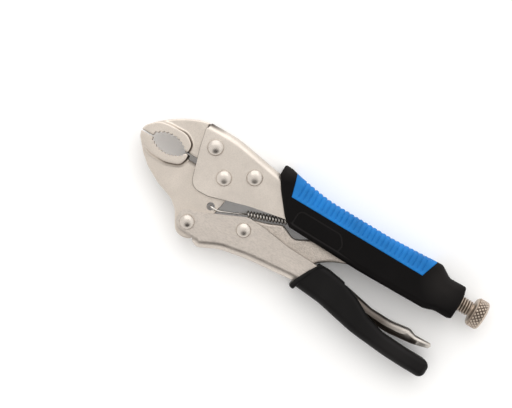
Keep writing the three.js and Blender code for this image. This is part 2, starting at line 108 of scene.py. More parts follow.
# ---- outlines ----
def arc(x, y, radius, start, end, steps):
    angles = [math.radians(start + (end - start) * i / steps) for i in range(steps + 1)]
    return [(x + radius * math.cos(a), y + radius * math.sin(a)) for a in angles]


def circle(x, y, radius, segments):
    return arc(x, y, radius, 0, 360 - 360 / segments, segments - 1)


def rounded_corner(before, corner, after):
    """The points of one rounded corner: corner is (x, y) or (x, y, radius)."""
    here = Vector(corner[:2])
    radius = corner[2] if len(corner) > 2 else 0
    a = Vector(before[:2]) - here
    b = Vector(after[:2]) - here
    room = min(a.length, b.length) * NEARLY_HALF
    a.normalize()
    b.normalize()
    half = math.acos(max(-1, min(1, a.dot(b)))) / 2
    reach = min(radius / math.tan(half), room) if radius else 0
    if reach < LEAST_REACH:
        return [tuple(here)]
    steps = max(2, round(math.degrees(math.pi - 2 * half) / CORNER_STEP))
    middle = (a + b).normalized() * (reach / math.cos(half))
    first = a * reach - middle
    last = b * reach - middle
    begin = math.atan2(first.y, first.x)
    sweep = math.atan2(last.y, last.x) - begin
    sweep = (sweep + math.pi) % (2 * math.pi) - math.pi
    points = []
    for i in range(steps + 1):
        angle = begin + sweep * i / steps
        points.append((here.x + middle.x + first.length * math.cos(angle),
                       here.y + middle.y + first.length * math.sin(angle)))
    return points


def closed_path(corners):
    count = len(corners)
    points = []
    for i, corner in enumerate(corners):
        points += rounded_corner(corners[i - 1], corner, corners[(i + 1) % count])
    return points


def open_path(corners):
    points = [tuple(corners[0][:2])]
    for i in range(1, len(corners) - 1):
        points += rounded_corner(corners[i - 1], corners[i], corners[i + 1])
    return points + [tuple(corners[-1][:2])]


def offset(points, distance, closed=False):
    """Moves a path sideways, to the left of its direction of travel."""
    count = len(points)
    moved = []
    for i, p in enumerate(points):
        before = points[i - 1] if closed or i else points[0]
        after = points[(i + 1) % count] if closed or i < count - 1 else points[-1]
        a = Vector(p) - Vector(before)
        b = Vector(after) - Vector(p)
        a = a if a.length > TINY else b
        b = b if b.length > TINY else a
        a = a.normalized()
        b = b.normalized()
        along = (a + b).normalized()
        stretch = distance / max(along.dot(a), 0.5)
        moved.append((p[0] - along.y * stretch, p[1] + along.x * stretch))
    return moved


def height_at(path, x):
    """The height of an open path that runs along X, at x."""
    for (x0, y0), (x1, y1) in zip(path, path[1:]):
        if x0 <= x <= x1 and x1 > x0:
            return y0 + (y1 - y0) * (x - x0) / (x1 - x0)
    return path[0][1] if x < path[0][0] else path[-1][1]


def beyond(path, far_y):
    """The outline of everything on the far_y side of a path that runs along X."""
    return [(path[0][0] - BIG, path[0][1])] + path + [(path[-1][0] + BIG, path[-1][1]),
            (path[-1][0] + BIG, far_y), (path[0][0] - BIG, far_y)]


def distance_to(path, x, y):
    """How far a point is from an open path."""
    here = Vector((x, y))
    nearest = BIG
    for start, end in zip(path, path[1:]):
        a = Vector(start)
        run = Vector(end) - a
        t = max(0, min(1, (here - a).dot(run) / max(run.length_squared, TINY)))
        nearest = min(nearest, (a + run * t - here).length)
    return nearest


# ---- meshes ----
def row_point(x, y, z):
    """A point of the drawing frame, in the row's own frame."""
    return ((x - CENTRE[0]) * MM, (y - CENTRE[1]) * MM, (z - CENTRE[2]) * MM)


def new_object(name, vertices, faces):
    mesh = bpy.data.meshes.new(name)
    mesh.from_pydata([row_point(*p) for p in vertices], [], faces)
    work = bmesh.new()
    work.from_mesh(mesh)
    bmesh.ops.recalc_face_normals(work, faces=work.faces)
    work.to_mesh(mesh)
    work.free()
    thing = bpy.data.objects.new(name, mesh)
    bpy.context.scene.collection.objects.link(thing)
    return thing


def ring_faces(rings):
    """The faces between rings of points that all have the same count."""
    count = len(rings[0])
    faces = []
    for r in range(len(rings) - 1):
        for i in range(count):
            j = (i + 1) % count
            faces.append((r * count + i, r * count + j, (r + 1) * count + j, (r + 1) * count + i))
    return faces


def loft(name, rings):
    """A solid through rings of points, capped at both ends."""
    count = len(rings[0])
    vertices = [p for ring in rings for p in ring]
    first_cap = tuple(range(count))
    last_cap = tuple(range(len(vertices) - count, len(vertices)))
    return new_object(name, vertices, ring_faces(rings) + [first_cap, last_cap])


def prism(name, points, low, high):
    return loft(name, [[(x, y, low) for x, y in points], [(x, y, high) for x, y in points]])


def edge_layers(half, radius, steps):
    """(z, how far drawn in) for a plate whose two faces meet its edge in a round of that radius."""
    upper = []
    for i in range(steps + 1):
        angle = math.pi / 2 * i / steps
        upper.append((half - radius + radius * math.sin(angle), radius * (1 - math.cos(angle))))
    return [(-z, inset) for z, inset in reversed(upper)] + upper


def clockwise(points):
    doubled = sum(a[0] * b[1] - b[0] * a[1] for a, b in zip(points, points[1:] + points[:1]))
    return doubled < 0


def soft_plate(name, points, half, radius, steps=4):
    """A plate with all its edges rounded."""
    inward = -1 if clockwise(points) else 1
    rings = []
    for z, inset in edge_layers(half, radius, steps):
        rings.append([(x, y, z) for x, y in offset(points, inward * inset, True)])
    return loft(name, rings)


def bar(name, at, radius, half, segments=48):
    return prism(name, circle(*at, radius, segments), -half, half)


def turned(name, profile, segments, at=None):
    """A turned solid: profile is (distance along the axis, radius), from axis to axis. Its axis is the
    screw's, along X, or with at it is the line along Z through that point."""
    rings = []
    for along, radius in profile:
        ring = []
        for i in range(segments):
            angle = 2 * math.pi * i / segments
            u = radius * math.cos(angle)
            v = radius * math.sin(angle)
            ring.append((at[0] + u, at[1] + v, along) if at else (along, SCREW_Y + u, v))
        rings.append(ring)
    return loft(name, rings)


def applied(thing):
    """Bakes an object's modifiers into its mesh."""
    view = bpy.context.evaluated_depsgraph_get()
    mesh = bpy.data.meshes.new_from_object(thing.evaluated_get(view))
    thing.modifiers.clear()
    old = thing.data
    thing.data = mesh
    mesh.name = thing.name
    bpy.data.meshes.remove(old)
    return thing


def combine(thing, tool, operation):
    modifier = thing.modifiers.new("combine", "BOOLEAN")
    modifier.object = tool
    modifier.operation = operation
    modifier.solver = "EXACT"
    applied(thing)
    bpy.data.objects.remove(tool, do_unlink=True)
    return thing


def cut(thing, *tools):
    for tool in tools:
        combine(thing, tool, "DIFFERENCE")
    return thing


def keep_inside(thing, *tools):
    for tool in tools:
        combine(thing, tool, "INTERSECT")
    return thing


def join(thing, tool):
    return combine(thing, tool, "UNION")


def broken_edges(thing, width, segments=2, angle=28):
    """Breaks the sharp edges, as a deburred or moulded part has them."""
    modifier = thing.modifiers.new("edges", "BEVEL")
    modifier.width = width * MM
    modifier.segments = segments
    modifier.limit_method = "ANGLE"
    modifier.angle_limit = math.radians(angle)
    modifier.miter_outer = "MITER_ARC"
    return applied(thing)


def forged(thing, voxel, rounds):
    """Melts a solid's edges and inner corners together, as a die leaves them."""
    remesh = thing.modifiers.new("remesh", "REMESH")
    remesh.mode = "VOXEL"
    remesh.voxel_size = voxel * MM
    smooth = thing.modifiers.new("smooth", "SMOOTH")
    smooth.factor = 0.5
    smooth.iterations = rounds
    return applied(thing)


def note_shade_and_dirt(thing, amounts):
    """Stores how much painted shade and dirt each point of a mesh has, 0 to 1, for its material."""
    painted_shade_and_dirt = thing.data.attributes.new("painted_shade_and_dirt", "FLOAT", "POINT")
    painted_shade_and_dirt.data.foreach_set("value", amounts)
    return thing


def marked_with_shade_and_dirt(thing, amount_at):
    """Notes the painted shade and dirt of a mesh: amount_at gives it for a point of the drawing frame."""
    amounts = []
    for vertex in thing.data.vertices:
        x, y, z = (c / MM + o for c, o in zip(vertex.co, CENTRE))
        amounts.append(max(0, min(1, amount_at(x, y, z))))
    return note_shade_and_dirt(thing, amounts)


def fading(peak, distance, reach):
    """A mark that fades: peak where the distance is 0, and one less for each reach of distance."""
    return peak - distance / reach


def smoothed(thing, angle=35):
    thing.data.shade_smooth()
    thing.data.set_sharp_from_angle(angle=math.radians(angle))
    modifier = thing.modifiers.new("normals", "WEIGHTED_NORMAL")
    modifier.weight = 100
    modifier.keep_sharp = True
    return applied(thing)


def finished(thing, body, material, nodes, angle=35):
    smoothed(thing, angle)
    thing.data.materials.clear()
    thing.data.materials.append(material)
    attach(thing, body)
    if nodes:
        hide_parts(*nodes)
    return thing


# ---- pressed frame ----
FRAME_BACK = open_path([(-17.6, 18.9), (-3, 19.1, 40), (8, 17.3, 30), (24, 14.7, 40), (40, 13.8, 60),
                        (104, 13.7, 20), (110, 13, 20), (121, 13)])
FRAME_FRONT = open_path([(121, 13), (121, -0.4, 0.6), (40, -0.4, 30), (16.5, -5.1, 40), (-2, -10.7, 4),
                         (-11, -11.2, 8.5), (-16.6, 6.5, 30), (-18.6, 15.2, 2), (-17.6, 18.9)])
FRAME_OUTLINE = FRAME_BACK + FRAME_FRONT[1:-1]


def rivet_hole(at):
    return bar("hole", at, HOLE_RADIUS, BIG)


def pin_hole(at):
    return bar("hole", at, PIN_RADIUS + PIN_PLAY, BIG)


def channel(name, outline, edge, inward, far_y):
    """Two side plates joined by a rounded fold along one edge."""
    body = prism(name, outline, -SHELL_HALF, SHELL_HALF)
    keep_inside(body, soft_plate("fold", beyond(edge, far_y), SHELL_HALF, FOLD_RADIUS, 9))
    inside = beyond(offset(edge, inward * SHEET), far_y)
    return cut(body, prism("inside", inside, -CHANNEL_HALF, CHANNEL_HALF))


def upper_frame():
    body = channel("upper_frame_shell", FRAME_OUTLINE, FRAME_BACK, -1, -BIG)
    cut(body, rivet_hole(JAW_PIVOT), rivet_hole(FRONT_RIVET), rivet_hole(REAR_RIVET))
    cut(body, pin_hole(SPRING_ANCHOR))
    broken_edges(body, SHEARED_EDGE, 3)

    # painted shade: a dark line along the frame's front edge, where it steps over the jaws; the flat faces
    # and the part under the grip stay unshaded
    def painted_shade_by_front_edge(x, y, z):
        face = abs(z) > SHELL_HALF - 0.02
        under_grip = x > 45
        return 0 if face or under_grip else fading(1.4, distance_to(FRAME_FRONT, x, y), 0.5)

    return marked_with_shade_and_dirt(body, painted_shade_by_front_edge)


# ---- jaws ----
MOUTH_CENTRE_X = -30
MOUTH_FRONT_X = -38.9
MOUTH_BACK_X = -20.3
UPPER_MOUTH = (-6.5, 11.3, 41, 137)  # centre height, radius, and the angles where the teeth start and end
LOWER_MOUTH = (8, 11.7, -44, -132)
PAST_MIDDLE = 3
JAW_TEETH = 10
TOOTH_DEPTH = 0.7
LIP_SLOPE = 1
LEDGE_DEPTH = 0.5
FIXED_EDGE_Y = 1.5
MOVABLE_EDGE_Y = -0.9


def teeth(y, radius, start, end):
    """A row of teeth along an arc of the mouth, crests on the arc and roots a tooth depth outside it."""
    points = []
    for i in range(2 * JAW_TEETH + 1):
        angle = math.radians(start + (end - start) * i / (2 * JAW_TEETH))
        r = radius + TOOTH_DEPTH * (i % 2)
        points.append((MOUTH_CENTRE_X + r * math.cos(angle), y + r * math.sin(angle)))
    return points


def mouth_cut(mouth, open_to):
    """A jaw's half of the mouth, from the row of teeth to a height past the tool's middle."""
    return prism("mouth", teeth(*mouth) + [(MOUTH_FRONT_X, open_to), (MOUTH_BACK_X, open_to)], -BIG, BIG)


def raised_lip(outline, jaw_outline, web_half):
    """The thicker lip round the mouth: its sides slope out to the web, inside the jaw's own outline."""
    base = offset(outline, LIP_SLOPE if clockwise(outline) else -LIP_SLOPE, True)
    rings = [[(x, y, z) for x, y in ring] for ring, z in (
        (outline, -BOSS_HALF), (base, -web_half), (base, web_half), (outline, BOSS_HALF))]
    return keep_inside(loft("lip", rings), prism("limit", jaw_outline, -BOSS_HALF, BOSS_HALF))


def jaw_painted_shade(x, y, z, edge_y, lip):
    """Painted shade on the walls of the gap behind the mouth and of the slit before it, round the foot of a
    lip, and beside the frame's edge. The lips' flat faces stay unshaded."""
    if abs(z) > BOSS_HALF - 0.25:
        return 0
    in_gap = -22 < x < -8 and abs(z) < JAW_HALF
    gap = fading(1, abs(y - edge_y), 0.5) if in_gap else 0
    more_to_rear = max(0.3, min(1, (x + 34) / 8))
    lip_foot = fading(1.15, distance_to(lip, x, y), 1.3) * more_to_rear
    frame_edge = fading(0.95, distance_to(FRAME_FRONT, x, y), 0.55)
    slit = fading(1.6, abs(y), 0.4) if x < MOUTH_FRONT_X + 0.5 else 0
    return max(gap, lip_foot, frame_edge, slit)


def fixed_jaw():
    nose = open_path([(-44, 0.1), (-43.3, 2.7, 3), (-38.2, 8.3, 35), (-30, 14.2, 45), (-22, 17.8, 15),
                      (-18, 18.5), (-18.55, 16.6), (-4, 16.8, 6), (8, 15, 10), (17.6, 13.2, 1.5),
                      (17.6, 3.4, 1.5), (9, 3.4)])
    hollow = arc(0, 0, 8, 25, 168, 24)
    underside = [(-8.6, FIXED_EDGE_Y), (-21.2, FIXED_EDGE_Y), (-21.7, 0.9)]
    lip = open_path([(-44, 0.1), (-43.3, 2.7, 3), (-39.2, 7.1, 6), (-33.5, 8.2, 8), (-24.8, 8.5, 6),
                     (-20.5, 5.4, 4), (-20.5, 1.7, 1), (-21.7, 0.9)])
    web_half = JAW_HALF + 0.2
    outline = nose + hollow + underside
    body = join(prism("fixed_jaw_forging", outline, -web_half, web_half), raised_lip(lip, outline, web_half))
    forged(body, FORGED_VOXEL, FORGED_ROUNDS)
    cut(body, mouth_cut(UPPER_MOUTH, -PAST_MIDDLE), rivet_hole(FRONT_RIVET), rivet_hole(REAR_RIVET))
    return marked_with_shade_and_dirt(body, lambda x, y, z: jaw_painted_shade(x, y, z, FIXED_EDGE_Y, lip))


def movable_jaw():
    belly = open_path([(-44, -0.35), (-43.1, -3, 3), (-38.4, -8.6, 12), (-33, -13.2, 12), (-25, -17.4, 14),
                       (-16.3, -20.3, 10), (-12, -24, 6), (-9.6, -28.2, 5), (-6.6, -32.8, 6), (1, -33, 6),
                       (3.6, -26, 8), (4.7, -15.9, 20), (5.9, -8.7, 10), (7.3, -1.4)])
    hub = arc(0, 0, 7.4, 0, 187, 30)
    lip = open_path([(-44, -0.35), (-43.1, -3, 3), (-40.4, -5.4, 3), (-34.5, -7.2, 8), (-27, -7.3, 8),
                     (-20.6, -5, 4), (-19.6, -1.5, 3), (-19.7, 0.8, 0.8), (-21.2, 0.5, 0.5), (-21.6, -0.35)])
    outline = belly + hub + [(-20.8, MOVABLE_EDGE_Y), (-21.6, -0.35)]
    around_lip = belly + [(7.3, 0.9), (-21.2, 0.9), (-21.6, -0.35)]
    body = prism("movable_jaw_forging", outline, -JAW_HALF, JAW_HALF)
    join(body, raised_lip(lip, around_lip, JAW_HALF))
    forged(body, FORGED_VOXEL, FORGED_ROUNDS)
    cut(body, mouth_cut(LOWER_MOUTH, PAST_MIDDLE), rivet_hole(JAW_PIVOT), rivet_hole(HANDLE_PIVOT))
    cut(body, bar("hole", SPRING_HOLE, SPRING_HOLE_RADIUS, BIG))
    # a ledge ground along the top edge behind the lip, on both faces
    ledge = [(-18.2, -3.2), (-9, -3.2), (-9, 3), (-18.2, 3)]
    ledge_z = JAW_HALF - LEDGE_DEPTH
    cut(body, prism("ledge", ledge, ledge_z, BIG), prism("ledge", ledge, -BIG, -ledge_z))
    return marked_with_shade_and_dirt(body, lambda x, y, z: jaw_painted_shade(x, y, z, MOVABLE_EDGE_Y, lip))


# ---- moving handle, toggle link and release lever ----
HANDLE_BELLY = open_path([(3, -33), (5.6, -33.6, 4), (15, -29, 20), (28, -26.5, 40), (51, -24.1, 40),
                          (66, -24.4, 30), (86, -28.4, 60), (104, -29.8, 40), (121.4, -30.1)])
HANDLE_TOP = open_path([(121.4, -30.1), (121.4, -25.4, 1), (101, -24.8, 30), (89.5, -22, 20),
                        (80.5, -17, 15), (72, -13.9, 8), (58, -12.5, 30), (42, -12.1, 30), (29, -10.3, 20),
                        (19, -9.6, 6), (-2, -19.2, 14), (-9.6, -21.4, 4), (-9, -30.6, 5), (1.4, -30.9, 0.5),
                        (3, -33)])
HANDLE_OUTLINE = HANDLE_BELLY + HANDLE_TOP[1:-1]
NOSE_GAP = [(-20, -40), (3.6, -40), (3.6, -20), (-20, -20)]


def lower_handle():
    body = channel("lower_handle_shell", HANDLE_OUTLINE, HANDLE_BELLY, 1, BIG)
    cut(body, prism("nose", NOSE_GAP, -CHANNEL_HALF, CHANNEL_HALF))
    cut(body, rivet_hole(HANDLE_PIVOT), rivet_hole(LINK_PIVOT), pin_hole(LEVER_PIVOT))
    broken_edges(body, SHEARED_EDGE, 3)

    # painted shade: a soft dark band along the belly's fold, a little above its edge, outside the sleeve
    def painted_shade_on_fold(x, y, z):
        outside_sleeve = x < 60 and abs(z) > 5
        from_line = abs(distance_to(HANDLE_BELLY, x, y) - 2.2)
        return fading(0.5, from_line, 3.2) if outside_sleeve else 0

    return marked_with_shade_and_dirt(body, painted_shade_on_fold)


def toggle_link():
    """The cast link, with painted shade on it beside the handle's edge."""
    outline = closed_path([
        (14.6, -16.5, 4), (16.2, -10.9, 3), (28, -7.4, 14), (34.6, -4.3, 1.6), (42, -7.6, 4.5),
        (49, -3.6, 8), (70, 9.4, 3), (77.7, 9.4, 3.2), (77.7, 3, 3.2), (71.5, -3.7, 3), (62.5, -7.4, 20),
        (56.8, -11.4, 4), (54.5, -15.6, 4), (40, -19.4, 20), (16, -20.6, 4)])
    body = soft_plate("toggle_link_casting", outline, LINK_HALF, 1.1, 6)
    forged(body, CAST_VOXEL, CAST_ROUNDS)
    cut(body, rivet_hole(LINK_PIVOT))
    return marked_with_shade_and_dirt(body, lambda x, y, z: fading(0.55, distance_to(HANDLE_TOP, x, y), 2.5))


LEVER_HALF = 3.9
LEVER_SHEET = 1.1
LEVER_FROM_X = 58.2
LEVER_TAIL_X = 111.5
LEVER_TO_X = 121.45
LEVER_TOP = open_path([(58.2, -14.6), (62, -12.9, 4), (74.5, -13.3, 20), (89.5, -16.3, 14), (100, -16.5, 20),
                       (109.3, -15.1, 2.5), (112.8, -16.5, 2.5), (121.1, -16.2, 1.2), (121.45, -17.4)])
LEVER_LOW = open_path([(58.2, -17.2), (64, -20.4, 3), (86, -21.4, 20), (100, -22.4, 20), (113, -20.9, 5),
                       (121.1, -18.7, 1.2), (121.45, -17.6)])
LEVER_KNEE = open_path([(58, -17.5), (80, -19, 20), (97, -20, 20), (105, -19.6, 10), (111.6, -17.9, 1),
                        (115.2, -18.4, 1), (121.5, -17.5)])


def lever_section(x, sheet):
    """Half of the pressed channel's section: a rounded back, flat sides, and edges turned in below a knee."""
    top = height_at(LEVER_TOP, x)
    low = height_at(LEVER_LOW, x)
    height = top - low
    tapered_tip = 1.3 * max(0, (x - 116) / 5.5) ** 3
    half = LEVER_HALF - tapered_tip
    radius = min(2.6, 0.45 * height)
    knee = max(low + 0.3 * height, min(height_at(LEVER_KNEE, x), top - 1.05 * radius))
    flattened_tail = 0.35 if x > 114.5 else 1
    turn_in = min(0.65 * (knee - low), 1.5) * flattened_tail
    corner = arc(half - radius, top - radius, radius - sheet, 90, 0, 8)
    side = [(half, knee), (half - turn_in, low + 0.1 * height), (half - turn_in - 0.15, low)]
    if sheet:
        side = [(half - sheet, knee), (half - sheet - turn_in, low), (half - sheet - turn_in, low - 3)]
    return [(y, z) for z, y in [(0, top - sheet)] + corner + side]


def lever_loft(name, start, end, sheet):
    rings = []
    for x in spaced(start, end, 0.7):
        half = lever_section(x, sheet)
        rings.append([(x, y, z) for y, z in half] + [(x, y, -z) for y, z in reversed(half[1:])])
    return loft(name, rings)


def release_lever():
    body = lever_loft("release_lever_pressing", LEVER_FROM_X, LEVER_TO_X, 0)
    hollow = lever_loft("hollow", LEVER_FROM_X + 0.7, LEVER_TAIL_X, LEVER_SHEET)
    cut(body, hollow, pin_hole(LEVER_PIVOT))
    broken_edges(body, PRESSED_EDGE, 2, 40)

    # painted shade and painted dark reflection: the lever darker below its knee, beside the sleeve, and
    # towards its front
    def painted_shade_and_dirt(x, y, z):
        above_knee = y - height_at(LEVER_KNEE, x)
        under = fading(0.375, above_knee, 1.6) if x < 115 else 0
        beside_sleeve = fading(0.9, distance_to(SLEEVE_TOP, x, y), 2.2)
        to_front = 0.95 * min(1, (117 - x) / 22)
        return max(under, beside_sleeve, to_front)

    return marked_with_shade_and_dirt(body, painted_shade_and_dirt)


# ---- rivets ----
HEAD_HEIGHT = 2.15
HEAD_RIM = 0.35


def rivet(name, at, head_radius):
    """A rivet with a domed head at each end. The last ring is a hair wide, so that its points stay apart."""
    seat = SHELL_HALF + SEAT
    dome = HEAD_HEIGHT - HEAD_RIM
    crown = 0.001
    steps = 14
    head = [(seat, SHANK_RADIUS), (seat, head_radius - 0.15), (seat + 0.12, head_radius)]
    for i in range(steps + 1):
        angle = math.pi / 2 * i / steps
        head.append((seat + HEAD_RIM + dome * math.sin(angle), head_radius * math.cos(angle) + crown))
    return turned(name, [(-z, r) for z, r in reversed(head)] + head, 72, at)


# ---- adjusting screw and knob ----
def wave(t):
    """A zigzag from 0 to 1 and back for each whole step of t."""
    return 1 - abs(2 * (t % 1) - 1)


def screw_surface(name, stations, segments, radius_at):
    """A solid about the screw's axis: radius_at gives the radius and how deep in a groove it is, 0 to 1."""
    rings = []
    depths = []
    for x in stations:
        ring = []
        for i in range(segments):
            angle = 2 * math.pi * i / segments
            r, depth = radius_at(x, angle)
            ring.append((x, SCREW_Y + r * math.cos(angle), r * math.sin(angle)))
            depths.append(depth)
        rings.append(ring)
    return note_shade_and_dirt(loft(name, rings), depths)


def spaced(start, end, step):
    count = math.ceil((end - start) / step)
    return [start + (end - start) * i / count for i in range(count + 1)]


def adjusting_screw():
    stem_radius = 3
    chamfer = 0.8
    thread_from = 105
    thread_to = KNOB_FROM_X - 0.5
    run_out = 0.6
    flat_crest = 1.3

    def radius_at(x, angle):
        if x < SCREW_TIP_X + chamfer:
            return stem_radius - chamfer + (x - SCREW_TIP_X), 0
        height = min(1, flat_crest * wave(x / THREAD_PITCH - angle / (2 * math.pi)))
        threaded = THREAD_ROOT + (THREAD_CREST - THREAD_ROOT) * height
        start = min(1, max(0, (x - thread_from) / THREAD_PITCH))
        end = min(1, max(0, (thread_to - x) / run_out))
        return stem_radius + (threaded - stem_radius) * start * end, (1 - height) * start

    stations = [SCREW_TIP_X, SCREW_TIP_X + chamfer] + spaced(thread_from, thread_to, THREAD_PITCH / 12)
    return screw_surface("adjusting_screw_thread", stations + [KNOB_FROM_X + 2], 64, radius_at)


def screw_knob():
    knurl_from = KNOB_FROM_X + 1.45
    knurl_to = KNOB_TO_X - 0.9
    knurl_count = 22
    knurl_depth = 0.55
    lead = 2 * math.pi * KNOB_RADIUS / knurl_count
    profile = open_path([(0, 4.2), (0.15, 5.7, 0.5), (0.85, 6.75, 0.6), (1.05, 6.75), (1.15, 6.35),
                         (1.3, 6.35), (1.45, 7), (5.5, 7, 1.2), (6.5, 6.2, 1), (6.9, 4.6, 1), (7, 2.6)])

    def radius_at(x, angle):
        left = wave(knurl_count * angle / (2 * math.pi) + x / lead)
        right = wave(knurl_count * angle / (2 * math.pi) - x / lead)
        cut_in = min(1, max(0, (x - knurl_from) / 0.25)) * min(1, max(0, (knurl_to - x) / 0.5))
        groove = (1 - min(1, 1.8 * min(left, right))) * cut_in
        return height_at(profile, x - KNOB_FROM_X) - knurl_depth * groove, groove

    stations = spaced(KNOB_FROM_X, knurl_from, 0.08) + spaced(knurl_from + 0.08, KNOB_TO_X, 0.12)
    return screw_surface("screw_knob_knurled", stations, knurl_count * 14, radius_at)


# ---- grips ----
GRIP_BEVEL = 3.2
END_BEVEL = 1.8
INLAY_THICK = 1.2
PANEL_GROOVE = 0.7
PANEL_DEPTH = 0.35
MARK_DEPTH = 0.15
RIB_DEPTH = 0.62
RIB_SHARPNESS = 0.75
GRIP_TOP = open_path([(22, 20.1), (25, 20, 8), (30, 18.8, 14), (47, 16.3, 60), (80, 16.2, 60),
                      (106.8, 17.7, 3.5), (112.6, 14.1, 4), (120.6, 14.4)])
GRIP_BOTTOM = open_path([(37.5, -3.9), (75, -4.8, 60), (109, -4.1, 6), (114, -2.3, 6), (120.6, -2.3)])
GRIP_FRONT = open_path([(37.5, -3.9), (33, -0.8, 8), (25.2, 8.8, 30), (21.3, 14.8, 3.5), (21.2, 19.4),
                        (22, 20.1)])
GRIP_REAR = open_path([(120.6, 14.4), (121.6, 13.4, 0.8), (122.6, 9, 6), (122.2, -1.4, 0.8), (120.6, -2.3)])
GRIP_OUTLINE = GRIP_TOP + GRIP_REAR[1:-1] + list(reversed(GRIP_BOTTOM)) + GRIP_FRONT[1:-1]
INLAY_LOW_Y = 8.5
INLAY_HIGH_Y = 17


def inlay_front_x(y):
    return 31 - (y - INLAY_LOW_Y) * 0.29


def inlay_rear_x(y):
    return 100.9 + (y - INLAY_LOW_Y) * 0.34


def grip_body(name):
    """The grip with its inlay, edges rounded."""
    front = GRIP_FRONT[:-2] + [(21.2, BIG), (3 * BIG, BIG), (3 * BIG, -BIG), (37.5, -BIG)]
    rear = [(-BIG, -BIG), (122.2, -BIG), (122.6, 9), (121.3, 14), (121.3, BIG), (-BIG, BIG)]
    body = prism(name, GRIP_OUTLINE, -GRIP_HALF, GRIP_HALF)
    keep_inside(body, soft_plate("top", beyond(GRIP_TOP, -BIG), GRIP_HALF, GRIP_BEVEL, 9))
    keep_inside(body, soft_plate("bottom", beyond(GRIP_BOTTOM, BIG), GRIP_HALF, GRIP_BEVEL, 9))
    keep_inside(body, soft_plate("front", front, GRIP_HALF, END_BEVEL, 6))
    return keep_inside(body, soft_plate("rear", rear, GRIP_HALF, END_BEVEL, 6))


def grip_core(depth):
    """What lies under a depth of the grip's back and sides."""
    outline = beyond(offset(GRIP_TOP, -depth), -BIG)
    return soft_plate("core", outline, GRIP_HALF - depth, GRIP_BEVEL - depth, 6)


def side_block(name, points, side, depth):
    """A block over one of the grip's flat sides that reaches a depth into it."""
    face = side * (GRIP_HALF - depth)
    return prism(name, points, min(face, side * BIG), max(face, side * BIG))


def upper_grip():
    body = grip_body("upper_grip_moulding")
    above = 24
    seat = [(inlay_front_x(above), above), (inlay_front_x(INLAY_LOW_Y), INLAY_LOW_Y),
            (inlay_rear_x(INLAY_LOW_Y), INLAY_LOW_Y), (inlay_rear_x(above), above)]
    cut(body, cut(prism("seat", seat, -BIG, BIG), grip_core(INLAY_THICK)))
    hollow = offset(FRAME_OUTLINE, 2 * SEAT, True)
    cut(body, prism("hollow", hollow, -SHELL_HALF - 2 * SEAT, SHELL_HALF + 2 * SEAT))
    slot = [(10, -20), (107, -20), (107, 4), (10, 4)]
    cut(body, prism("slot", slot, -CHANNEL_HALF, CHANNEL_HALF))
    cut(body, turned("way", [(90, THREAD_CREST + 0.5), (140, THREAD_CREST + 0.5)], 48))
    panel = closed_path([(37, -2.4, 1.5), (37.2, 5.8, 3), (59.5, 5.8, 4), (62.8, 1.5, 3), (62.3, -2.4, 1.5)])
    inside_groove = offset(panel, -PANEL_GROOVE, True)
    for side in (-1, 1):
        ring = side_block("panel", panel, side, PANEL_DEPTH)
        cut(body, cut(ring, prism("island", inside_groove, -BIG, BIG)))
        for x, y, radius in ((26, 13, 0.9), (114.5, 5.3, 1.1)):
            cut(body, side_block("mark", circle(x, y, radius, 36), side, MARK_DEPTH))
    broken_edges(body, MOULDED_EDGE, 2, 40)
    groove = offset(panel, -PANEL_GROOVE / 2, True)
    groove.append(groove[0])

    def dusty(x, y, z):
        in_groove = GRIP_HALF - PANEL_DEPTH - 0.1 < abs(z) < GRIP_HALF - 0.05
        return 1 if in_groove and distance_to(groove, x, y) < 0.45 else 0

    return marked_with_shade_and_dirt(body, dusty)


def upper_grip_inlay():
    """The ribbed inlay that wraps the grip's back: sections across the tool, swept from front to rear."""
    side_steps = 16
    corner_steps = 10
    section = [(i / side_steps, None) for i in range(side_steps)]
    section += [(1, math.pi / 2 * i / corner_steps) for i in range(corner_steps + 1)]
    half_count = len(section)
    stations = 64 + 14 * RIB_COUNT
    rib_foot_y = 9.2
    rib_rise = 1.2
    edge_round = 0.25
    edge_width = 0.5

    def point(along_side, turn, u, depth):
        """One point. Its height and its place along the tool hang on each other, so each is found in turn."""
        on_side = turn is None
        y = INLAY_LOW_Y + (INLAY_HIGH_Y - INLAY_LOW_Y) * along_side
        for _ in range(3):
            start = inlay_front_x(y) + SEAT
            end = inlay_rear_x(y) - SEAT
            x = start + (end - start) * u
            top = height_at(GRIP_TOP, x)
            if on_side:
                y = INLAY_LOW_Y + SEAT + (top - GRIP_BEVEL - INLAY_LOW_Y - SEAT) * along_side
            else:
                y = top - GRIP_BEVEL * (1 - math.sin(turn))
        fade = min(1, max(0, (y - rib_foot_y) / rib_rise))
        valley = (x - FIRST_RIB_X) / RIB_PITCH + 0.5
        rib = 0
        if -0.2 < valley < RIB_COUNT + 0.2:
            rib = RIB_DEPTH * (1 - abs(math.sin(math.pi * valley)) ** RIB_SHARPNESS) * fade
        border = min(x - start, end - x, y - INLAY_LOW_Y)
        soft = edge_round * max(0, 1 - border / edge_width) ** 2
        inset = depth if depth else rib + soft
        if on_side:
            return (x, y, GRIP_HALF - inset)
        radius = GRIP_BEVEL - inset
        y = top - GRIP_BEVEL + radius * math.sin(turn)
        z = GRIP_HALF - GRIP_BEVEL + radius * math.cos(turn)
        return (x, y, z)

    rings = []
    for s in range(stations + 1):
        u = s / stations
        outer = [point(along_side, turn, u, 0) for along_side, turn in section]
        inner = [point(along_side, turn, u, INLAY_THICK - SEAT) for along_side, turn in section]
        outer += [(x, y, -z) for x, y, z in reversed(outer)]
        inner += [(x, y, -z) for x, y, z in reversed(inner)]
        rings.append(outer + list(reversed(inner)))
    count = len(rings[0])
    vertices = [p for ring in rings for p in ring]
    faces = ring_faces(rings)
    for end in (0, stations):
        for i in range(2 * half_count - 1):
            a = end * count
            faces.append((a + i, a + i + 1, a + count - 2 - i, a + count - 1 - i))
    return new_object("upper_grip_inlay_ribbed", vertices, faces)


